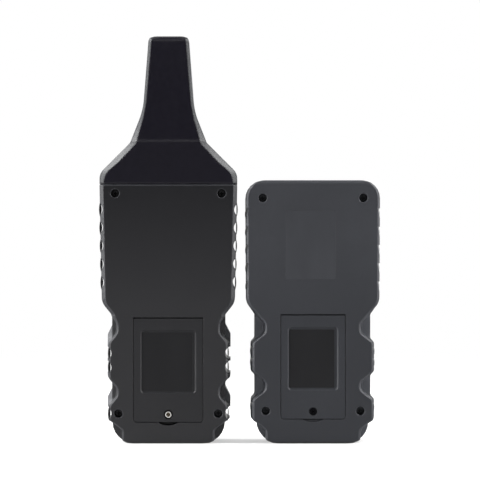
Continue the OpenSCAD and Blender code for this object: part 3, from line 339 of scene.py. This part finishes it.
def clear(name, colour, alpha):
    """Thin clear window: see-through, with fine wipe marks in its gloss."""
    g = Graph(name)
    wipes = g.noise(6 * MM, 4, stretch=(1, 1, 0.15))
    return g.finish(g.mottled(wipes, colour, 0.9, 1), g.spread(wipes, 0.04, 0.14),
                    g.bump(wipes, 0.004 * MM, 0.3), Alpha=alpha, Specular_IOR_Level=0.5)


def display_face(name, colour):
    """Reflective display glass at rest: a fine pixel grid over a cloudy grey-green."""
    g = Graph(name)
    grid = g.math("MAXIMUM", g.bands(0.5 * MM, "X"), g.bands(0.5 * MM, "Z"))
    cloud = g.noise(20 * MM, 3)
    body = g.mottled(cloud, colour, 0.94, 1.05)
    body = g.blend(g.remap(grid, 0.9, 1.0, 0, 0.18), body, scaled(colour, 0.75))
    return g.finish(body, g.spread(cloud, 0.28, 0.38), g.bump(grid, 0.004 * MM, 0.3),
                    Specular_IOR_Level=0.4)


def circuit(name, colour, pad_colour):
    """Solder mask with tracks and pads showing through."""
    g = Graph(name)
    bricks = g.node("ShaderNodeTexBrick", offset=0.37, squash=0.6, squash_frequency=3)
    g.link(g.coordinates(stretch=(260, 1, 210)), bricks.inputs["Vector"])
    bricks.inputs["Mortar Size"].default_value = 0.06
    tracks = bricks.outputs["Fac"]
    pads = g.remap(g.cells(6 * MM), 0.16, 0.13)
    body = g.blend(pads, g.blend(tracks, colour, scaled(colour, 1.9)), pad_colour)
    lines = g.math("MAXIMUM", tracks, pads)
    return g.finish(body, g.remap(lines, 0, 1, 0.38, 0.28), g.bump(lines, 0.03 * MM, 0.4),
                    Specular_IOR_Level=0.5)


def wound(name, colour, pitch):
    """Fine enamelled wire, turn beside turn."""
    g = Graph(name)
    turns = g.bands(pitch, "Z")
    shade = g.noise(4 * MM, 3)
    wire = g.blend(shade, scaled(colour, 0.8), colour)
    body = g.blend(g.remap(turns, 0.1, 0.7), scaled(colour, 0.25), wire)
    return g.finish(body, g.spread(shade, 0.24, 0.36), g.bump(turns, 0.12 * MM, 0.7), Metallic=0.85)


def cell_wrap(name, sleeve, stripe, end, dirt):
    """Plain printed wrap of a small cell: metal ends, a dark sleeve and a pale stripe."""
    g = Graph(name)
    wrap = g.ramp(g.axis("Z", "Generated"),
                  [(0, end), (0.022, sleeve), (0.76, stripe), (0.79, sleeve), (0.955, end)])
    cloud, ripple = g.noise(3 * MM, 4), g.noise(1.2 * MM, 2)
    body = g.blend(g.spread(cloud, 0, 0.25), wrap, dirt)
    return g.finish(body, g.spread(cloud, 0.2, 0.34), g.bump(ripple, 0.01 * MM, 0.4),
                    Specular_IOR_Level=0.5)


def stack(name, colour):
    """Varnished lamination stack of a small transformer."""
    g = Graph(name)
    sheets = g.bands(0.5 * MM, "Y")
    cloud = g.noise(4 * MM, 4)
    body = g.blend(g.remap(sheets, 0.2, 0.8), scaled(colour, 0.6), scaled(colour, 1.2))
    return g.finish(body, g.spread(cloud, 0.4, 0.55), g.bump(sheets, 0.04 * MM, 0.5),
                    Metallic=0.4, Specular_IOR_Level=0.4)


def print_ink(name, colour, rough):
    """Printed ink: a little uneven in cover and gloss."""
    g = Graph(name)
    cover = g.noise(0.7 * MM, 3)
    return g.finish(g.mottled(cover, colour, 0.88, 1), g.spread(cover, rough - 0.05, rough + 0.08),
                    g.bump(cover, 0.01 * MM, 0.3), Specular_IOR_Level=0.3)


SCREW_RECESS, SCREW_RIM = 1.25 * MM, 1.7 * MM  # radii of the drive recess and of the bright ring
# Brownish-grey tone of the drive recess, and the painted shade in its depths and round the head's
# rim.
RECESS_TONE, DEEP_SHADE, RIM_SHADE = (0.12, 0.10, 0.075), (0.010, 0.008, 0.007), (0.006, 0.006, 0.006)
TURNING = 40000  # radians of turning marks per metre of radius


def screw_face(name, colour, x, z):
    """Plated screw at x, z: a bright turned ring with painted shade outside it, and a brownish-grey
    drive recess with painted shade where it closes in.
    """
    g = Graph(name)
    flat = g.vector("MULTIPLY", g.coordinates(), (1, 0, 1))["Vector"]
    away = g.vector("DISTANCE", flat, (x, 0, z))["Value"]
    cloud = g.noise(0.9 * MM, 3)
    radius = g.math("ADD", away, g.spread(cloud, -0.08 * MM, 0.08 * MM))
    # Painted shade: the head's rim outside the bright ring is painted near black.
    steel = g.blend(g.remap(radius, SCREW_RIM, SCREW_RIM + 0.2 * MM),
                    g.mottled(cloud, colour, 0.82, 1), RIM_SHADE)
    # Painted shade: the recess darkens where its walls close in.
    recess_tone_and_shade = g.blend(g.remap(g.hollow(0.8 * MM), 0.35, 0.75), DEEP_SHADE, RECESS_TONE)
    body = g.blend(g.remap(radius, SCREW_RECESS + 0.15 * MM, SCREW_RECESS), steel, recess_tone_and_shade)
    marks = g.math("SINE", g.math("MULTIPLY", radius, TURNING))
    return g.finish(body, g.remap(radius, SCREW_RECESS, SCREW_RECESS + 0.3 * MM, 0.55, 0.26),
                    g.bump(marks, 0.006 * MM, 0.3, g.rounded(0.3 * MM)), Metallic=1.0)


LOOKS = {
    # Plastics here have bevels painted lighter as a highlight, and sharp edges lighter from rubbing.
    "head_black": (moulded, dict(colour=(0.0028, 0.0022, 0.0056), rough=0.34, soft=1.8 * MM,
                                 wear_and_highlight=(0.036, 0.038, 0.041), edges=0.1)),
    "receiver_case": (moulded, dict(colour=(0.0064, 0.0064, 0.0078), soft=0.9 * MM,
                                    wear_and_highlight=(0.038, 0.039, 0.044), edges=0.7, aside=-1,
                                    # Painted shading: the receiver case is painted lighter towards
                                    # the bottom.
                                    below=(86 * MM, 158 * MM, (0.0180, 0.0180, 0.0197)))),
    "receiver_front": (moulded, dict(colour=(0.052, 0.052, 0.056), rough=0.42, soft=0.9 * MM,
                                     # Painted light: back-facing faces of the front shell are
                                     # painted pale.
                                     painted_light_ledges=(0.175, 0.180, 0.188))),
    "receiver_door": (moulded, dict(colour=(0.0146, 0.0146, 0.0162))),
    "transmitter_case": (moulded, dict(colour=(0.0333, 0.0347, 0.0398), rough=0.44, soft=0.6 * MM,
                                       # Painted shading: the transmitter case is painted darker
                                       # towards the bottom.
                                       below=(60 * MM, 130 * MM, (0.0248, 0.0260, 0.0303)),
                                       # Painted light: its finger-scoop floors are painted paler.
                                       painted_scoop_light=(15 * MM, 1.8))),
    "transmitter_door": (moulded, dict(colour=(0.0258, 0.0271, 0.0316), rough=0.44)),
    "label_dark": (film, dict(colour=(0.0090, 0.0090, 0.0100), specular=0.15)),
    "label_grey": (film, dict(colour=(0.0353, 0.0367, 0.0419), specular=0.2)),
    "bright_steel": (metal, dict(colour=(0.62, 0.61, 0.59), rough=0.3, dark=(0.03, 0.028, 0.026))),
    "dark_steel": (metal, dict(colour=(0.03, 0.03, 0.032), rough=0.42, dark=(0.004, 0.004, 0.004))),
    "brass": (metal, dict(colour=(0.66, 0.47, 0.19), rough=0.32, dark=(0.12, 0.07, 0.03))),
    "nickel": (metal, dict(colour=(0.66, 0.64, 0.6), rough=0.28, dark=(0.2, 0.19, 0.17),
                           recess=0.5 * MM)),
    "bezel_black": (gloss, dict(colour=(0.014, 0.014, 0.015), rough=0.38, specular=0.18)),
    "window": (clear, dict(colour=(0.16, 0.17, 0.17), alpha=0.2)),
    "display": (display_face, dict(colour=(0.235, 0.265, 0.215))),
    "silicone": (rubber, dict(colour=(0.16, 0.17, 0.18))),
    "key_grey": (rubber, dict(colour=(0.085, 0.087, 0.093))),
    "board": (circuit, dict(colour=(0.012, 0.085, 0.040), pad_colour=(0.55, 0.5, 0.4))),
    "chip": (moulded, dict(colour=(0.012, 0.012, 0.013), rough=0.42)),
    "cell": (cell_wrap, dict(sleeve=(0.02, 0.055, 0.14), stripe=(0.6, 0.6, 0.58),
                             end=(0.62, 0.62, 0.6), dirt=(0.04, 0.07, 0.12))),
    "ferrite": (moulded, dict(colour=(0.030, 0.030, 0.032), rough=0.6, grain=0.2 * MM)),
    "copper": (wound, dict(colour=(0.62, 0.24, 0.08), pitch=0.35 * MM)),
    "bobbin": (gloss, dict(colour=(0.55, 0.52, 0.44), rough=0.4)),
    "lead": (gloss, dict(colour=(0.35, 0.03, 0.02), rough=0.38)),
    "socket_red": (gloss, dict(colour=(0.36, 0.024, 0.018), rough=0.34)),
    "socket_black": (gloss, dict(colour=(0.012, 0.012, 0.013), rough=0.34)),
    "transformer": (stack, dict(colour=(0.09, 0.08, 0.07))),
    "fuse_glass": (clear, dict(colour=(0.7, 0.74, 0.74), alpha=0.35)),
}
finishes = {name: make(name, **look) for name, (make, look) in LOOKS.items()}


# ---------------------------------------------------------------- CAD nodes
WELD = 0.002 * MM
SHARP = 26  # degrees


def smoothing_group():
    """Geometry nodes that join the faces of a CAD mesh and keep only its sharp edges sharp."""
    group = bpy.data.node_groups.new("weld_and_smooth", "GeometryNodeTree")
    for side in ("INPUT", "OUTPUT"):
        group.interface.new_socket("Geometry", in_out=side, socket_type="NodeSocketGeometry")
    source, target = group.nodes.new("NodeGroupInput"), group.nodes.new("NodeGroupOutput")
    weld = group.nodes.new("GeometryNodeMergeByDistance")
    weld.inputs["Distance"].default_value = WELD
    faces = group.nodes.new("GeometryNodeSetShadeSmooth")
    edges = group.nodes.new("GeometryNodeSetShadeSmooth")
    edges.domain = "EDGE"
    bend = group.nodes.new("GeometryNodeInputMeshEdgeAngle")
    flat = group.nodes.new("FunctionNodeCompare")
    flat.data_type, flat.operation = "FLOAT", "LESS_THAN"
    flat.inputs["B"].default_value = math.radians(SHARP)
    for output, socket in ((source.outputs[0], weld.inputs["Geometry"]),
                           (weld.outputs[0], faces.inputs["Geometry"]),
                           (faces.outputs[0], edges.inputs["Geometry"]),
                           (bend.outputs["Unsigned Angle"], flat.inputs["A"]),
                           (flat.outputs["Result"], edges.inputs["Shade Smooth"]),
                           (edges.outputs[0], target.inputs[0])):
        group.links.new(output, socket)
    return group


smoothing = smoothing_group()
for part in frame["record"]["subparts"]:
    node = nodes[part["node"]]
    node.data.materials.clear()
    node.data.materials.append(finishes[part["material_slot"]])
    if "custom_normal" in node.data.attributes:
        node.data.attributes.remove(node.data.attributes["custom_normal"])
    node.modifiers.new("weld_and_smooth", "NODES").node_group = smoothing

# Screws that the photograph shows differ from the others of their slot.
low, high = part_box("receiver_door_screw")
nodes["receiver_door_screw"].data.materials[0] = screw_face(
    "door_screw_steel", (0.62, 0.61, 0.59), (low[0] + high[0]) / 2, (low[2] + high[2]) / 2)
nodes["transmitter_door_screw"].data.materials[0] = metal(
    "door_screw_black", (0.006, 0.006, 0.007), 0.45, (0.002, 0.002, 0.002))
nodes["transmitter_case_screws"].data.materials[0] = metal(
    "case_screw_grey", (0.045, 0.047, 0.051), 0.5, (0.020, 0.021, 0.023))


# ---------------------------------------------------------------- inlays, in mm
def bar(x0, z0, x1, z1):
    return [(x0, z0), (x1, z0), (x1, z1), (x0, z1)]


def arc(inner, outer, start, end, steps=24):
    """A strip of a ring, from one angle to another in degrees."""
    turns = [math.radians(start + (end - start) * k / steps) for k in range(steps + 1)]
    rim = [(r, t) for r, path in ((outer, turns), (inner, turns[::-1])) for t in path]
    return [(r * math.cos(t), r * math.sin(t)) for r, t in rim]


def disc(radius, steps=28):
    turns = [2 * math.pi * k / steps for k in range(steps)]
    return [(radius * math.cos(t), radius * math.sin(t)) for t in turns]


def turned(outline, degrees):
    c, s = math.cos(math.radians(degrees)), math.sin(math.radians(degrees))
    return [(x * c - z * s, x * s + z * c) for x, z in outline]


def moved(outline, dx, dz):
    return [(x + dx, z + dz) for x, z in outline]


def inlay(name, outlines, centre, front, back, body, material):
    """Flat shapes let into a face: outlines round centre, as x and z, between two depths."""
    mesh = bpy.data.meshes.new(name)
    shape = bmesh.new()
    for outline in outlines:
        flat = [((centre[0] + x) * MM, (centre[1] + z) * MM) for x, z in outline]
        rings = [[shape.verts.new((x, y * MM, z)) for x, z in flat] for y in (front, back)]
        shape.faces.new(rings[0])
        shape.faces.new(rings[1][::-1])
        for k in range(len(outline)):
            m = (k + 1) % len(outline)
            shape.faces.new((rings[0][m], rings[0][k], rings[1][k], rings[1][m]))
    bmesh.ops.recalc_face_normals(shape, faces=shape.faces)
    shape.to_mesh(mesh)
    shape.free()
    mesh.materials.append(material)
    piece = bpy.data.objects.new(name, mesh)
    scene.collection.objects.link(piece)
    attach(piece, body)


def middle(node):
    """Centre of a node's front in x and z, and the depth of its front."""
    low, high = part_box(node)
    return ((low[0] + high[0]) / 2 / MM, (low[2] + high[2]) / 2 / MM), low[1] / MM


# Signs on the keys, by the last word of a key's name.
SIGN_PROUD, SIGN_DEEP = 0.04, 0.06
RAYS = [turned(bar(1.35, -0.2, 2.15, 0.2), 45 * k) for k in range(8)]
CROSS = [(-1.25, -0.22), (-0.22, -0.22), (-0.22, -1.25), (0.22, -1.25),
         (0.22, -0.22), (1.25, -0.22), (1.25, 0.22), (0.22, 0.22),
         (0.22, 1.25), (-0.22, 1.25), (-0.22, 0.22), (-1.25, 0.22)]
SPEAKER = [(-2.6, -0.75), (-1.7, -0.75), (-0.4, -1.85), (-0.4, 1.85), (-1.7, 0.75), (-2.6, 0.75)]
SIGNS = {
    "power": [arc(1.6, 2.05, 128, 412), bar(-0.23, 0.6, 0.23, 2.35)],
    "mode": [bar(x, z, x + 1.6, z + 1.6) for x in (-1.85, 0.25) for z in (-1.85, 0.25)],
    "up": [[(-2.1, -1.3), (2.1, -1.3), (0, 1.7)]],
    "down": [[(2.1, 1.3), (-2.1, 1.3), (0, -1.7)]],
    "light": [disc(0.95)] + RAYS,
    "mute": [SPEAKER, moved(turned(CROSS, 45), 1.5, 0)],
    "level": [bar(-2.3 + 1.25 * k, -1.8, -1.45 + 1.25 * k, -0.9 + 0.9 * k) for k in range(4)],
    "code": [bar(-2.9, -1.5, -1.7, -1.05), bar(-1.7, -1.5, -1.25, 1.5), bar(-1.25, 1.05, -0.1, 1.5),
             bar(-0.1, -1.5, 0.35, 1.5), bar(0.35, -1.5, 1.5, -1.05), bar(1.5, -1.5, 1.95, 1.5),
             bar(1.95, 1.05, 2.9, 1.5)],
}
pale_ink = print_ink("pale_ink", (0.62, 0.63, 0.62), 0.5)
for node in [name for name in nodes if "_key_" in name]:
    centre, front = middle(node)
    inlay(node + "_sign", SIGNS[node.rsplit("_", 1)[1]], centre,
          front - SIGN_PROUD, front + SIGN_DEEP, node, pale_ink)

# Segments of the displays at rest: digits, with a scale above them and a row of marks below.
SEGMENT_PROUD, SEGMENT_DEEP = 0.05, 0.05
DIGIT_WIDE, DIGIT_HIGH, DIGIT_BAR, DIGIT_GAP = 8.4, 15, 1.7, 0.25
SCALE_FROM_TOP, ROW_FROM_BOTTOM = 11, 14
SCALE = [bar(-17.6 + 2.4 * k, 0, -16.0 + 2.4 * k, 2.2 + 0.28 * k) for k in range(15)]
CELL = [(-3, -1.5), (3, -1.5), (3, -0.6), (3.6, -0.6), (3.6, 0.6), (3, 0.6), (3, 1.5), (-3, 1.5)]
WAVES = [arc(r, r + 0.5, -40, 40, 10) for r in (1.2, 2.4, 3.6)]
DASHES = [bar(-6 + 4.4 * k, -0.8, -3 + 4.4 * k, 0.8) for k in range(3)]
ROW = [moved(CELL, -14, 0)] + [moved(wave, 12, 0) for wave in WAVES] + DASHES


def digit(x, z):
    """The seven bars of one display digit, with small gaps between them."""
    side, half, thin = DIGIT_WIDE / 2, DIGIT_HIGH / 2, DIGIT_BAR / 2
    reach = side - DIGIT_BAR - DIGIT_GAP
    across = [bar(-reach, at - thin, reach, at + thin) for at in (thin - half, 0, half - thin)]
    length = half - DIGIT_BAR - DIGIT_GAP
    starts = (thin - half + DIGIT_GAP / 2, thin + DIGIT_GAP / 2)
    up = [bar(at - thin, start, at + thin, start + length)
          for at in (thin - side, side - thin) for start in starts]
    return [moved(stroke, x, z) for stroke in across + up]


segment_ink = print_ink("display_segments", (0.125, 0.142, 0.112), 0.3)
for unit, digits, lift in (("receiver", (-11, 0, 11), 2.0), ("transmitter", (-7, 7), 0.5)):
    centre, front = middle(unit + "_display_module")
    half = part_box(unit + "_display_module")[1][2] / MM - centre[1]
    shapes = [stroke for x in digits for stroke in digit(x, lift)]
    shapes += [moved(step, 0, half - SCALE_FROM_TOP) for step in SCALE]
    shapes += [moved(mark, 0, ROW_FROM_BOTTOM - half) for mark in ROW]
    inlay(unit + "_display_segments", shapes, centre,
          front - SEGMENT_PROUD, front + SEGMENT_DEEP, unit, segment_ink)

# Pads behind the grip bars of the receiver's outer side leave a thin slit of each rib slot open.
# Each row gives the height of a slot and how far from the receiver's middle its bar ends.
RIB_SLOTS = [(17.93, 35.5), (45.47, 35.5), (53.87, 35.5), (96.2, 39.94), (107.1, 40.15),
             (118.0, 40.37), (128.9, 40.59), (139.8, 40.80)]
PAD_HALF, PAD_THICK, PAD_STEPS = 3.3, 0.75, 12
PAD_FRONT, PAD_BACK = 15.6, 18.2
BAR_INNER, BAR_OVERLAP = 0.2, 0.1


def pad(height, half):
    """A flat lens against the inner face of a bar."""
    rise = [2 * k / PAD_STEPS - 1 for k in range(PAD_STEPS + 1)]
    inner = [(half - BAR_INNER - PAD_THICK * (1 - t * t), height + PAD_HALF * t) for t in rise]
    outer = half - BAR_INNER + BAR_OVERLAP
    return inner + [(outer, height + PAD_HALF), (outer, height - PAD_HALF)]


low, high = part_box("receiver_rear_shell")
inlay("receiver_grip_pads", [pad(*slot) for slot in RIB_SLOTS], ((low[0] + high[0]) / 2 / MM, 0),
      PAD_FRONT, PAD_BACK, "receiver", finishes["receiver_case"])


# ---------------------------------------------------------------- stage
MIDDLE = (0, 0, 0.13)
LAMPS = [  # name, place, aim, size and radiance
    ("left_box", (0.82, 0.26, 0.22), MIDDLE, (0.4, 1.0), 9.4),
    ("right_box", (-0.82, 0.26, 0.22), MIDDLE, (0.4, 1.0), 7.0),
    ("left_corner_box", (0.74, 0.02, 0.92), (0.05, 0, 0.18), (0.5, 0.5), 14.0),
    ("right_corner_box", (-0.66, 0.02, 0.92), (0.03, 0, 0.18), (0.5, 0.5), 11.0),
    ("left_rim_box", (0.72, -0.42, 0.95), (0.05, 0, 0.18), (0.4, 0.4), 9.0),
    ("top_box", (0, 0.04, 1.2), MIDDLE, (0.9, 0.4), 0.35),
    ("back_fill", (0, 1.15, 1.25), MIDDLE, (0.9, 0.5), 3.7),
    ("front_left_fill", (0.9, -1.0, 0.5), MIDDLE, (0.8, 0.8), 1.6),
    ("front_right_fill", (-0.9, -1.0, 0.5), MIDDLE, (0.8, 0.8), 1.6),
]
ROOM, WHITE = 0.25, 1.0  # light of the room, and of paper that is looked at
WALL_RADIUS, WALL_ENDS, WALL_LOW, WALL_HIGH, WALL_STEPS = 5, 1.5, -3, 6, 32
FLOOR_RADIUS, FLOOR_SIDES = 9, 96
PAPER, PAPER_GLOW = 0.5, 0.5  # the floor's grey near the object, and the glow that lifts it to white
FADE = (0.3, 1.2)  # distances over which the floor fades to the wall

for name, place, aim, size, radiance in LAMPS:
    data = bpy.data.lights.new(name, "AREA")
    data.shape, data.size, data.size_y = "RECTANGLE", size[0], size[1]
    data.energy = radiance * math.pi * size[0] * size[1]
    lamp = bpy.data.objects.new(name, data)
    scene.collection.objects.link(lamp)
    lamp.location = place
    lamp.rotation_euler = (Vector(aim) - Vector(place)).to_track_quat("-Z", "Y").to_euler()
    lamp.visible_camera = False

world = bpy.data.worlds.new("studio")
world.use_nodes = True
scene.world = world
sky = world.node_tree.nodes["Background"]
sky.inputs["Color"].default_value = (1, 1, 1, 1)
sky.inputs["Strength"].default_value = ROOM


def curtain(shape):
    """A tall half ring round the far side of the object, with straight ends past it."""
    turns = [-math.pi * k / WALL_STEPS for k in range(WALL_STEPS + 1)]
    ring = [(WALL_RADIUS * math.cos(t), WALL_RADIUS * math.sin(t)) for t in turns]
    path = [(WALL_RADIUS, WALL_ENDS)] + ring + [(-WALL_RADIUS, WALL_ENDS)]
    columns = [[shape.verts.new((x, y, z)) for z in (WALL_LOW, WALL_HIGH)] for x, y in path]
    for a, b in zip(columns, columns[1:]):
        shape.faces.new((a[0], b[0], b[1], a[1]))


def disc_floor(shape):
    bmesh.ops.create_circle(shape, cap_ends=True, radius=FLOOR_RADIUS, segments=FLOOR_SIDES)


def paper(name, build):
    """A piece of the stage, and the graph of its material."""
    mesh = bpy.data.meshes.new(name)
    shape = bmesh.new()
    build(shape)
    shape.to_mesh(mesh)
    shape.free()
    piece = bpy.data.objects.new(name, mesh)
    scene.collection.objects.link(piece)
    g = Graph(name + "_paper")
    mesh.materials.append(g.material)
    return g


# White paper wall round the far side, seen as white and lighting no more than the room does.
g = paper("backdrop", curtain)
glow = g.node("ShaderNodeEmission")
g.feed(glow.inputs["Strength"], g.remap(g.seen_directly(), 0, 1, ROOM, WHITE))
g.surface(glow.outputs[0])

# White paper floor that keeps the shadow near the object and fades to the wall further off.
g = paper("floor", disc_floor)
away = g.vector("LENGTH", g.coordinates())["Value"]
far = g.remap(away, *FADE, easing="SMOOTHSTEP")
matt = g.node("ShaderNodeBsdfDiffuse")
g.feed(matt.inputs["Color"], g.blend(far, (PAPER,) * 3, (0, 0, 0)))
glow = g.node("ShaderNodeEmission")
g.feed(glow.inputs["Strength"],
       g.remap(g.seen_directly(), 0, 1, 0, g.remap(far, 0, 1, PAPER_GLOW, WHITE)))
both = g.node("ShaderNodeAddShader")
g.link(matt.outputs[0], both.inputs[0])
g.link(glow.outputs[0], both.inputs[1])
g.surface(both.outputs[0])
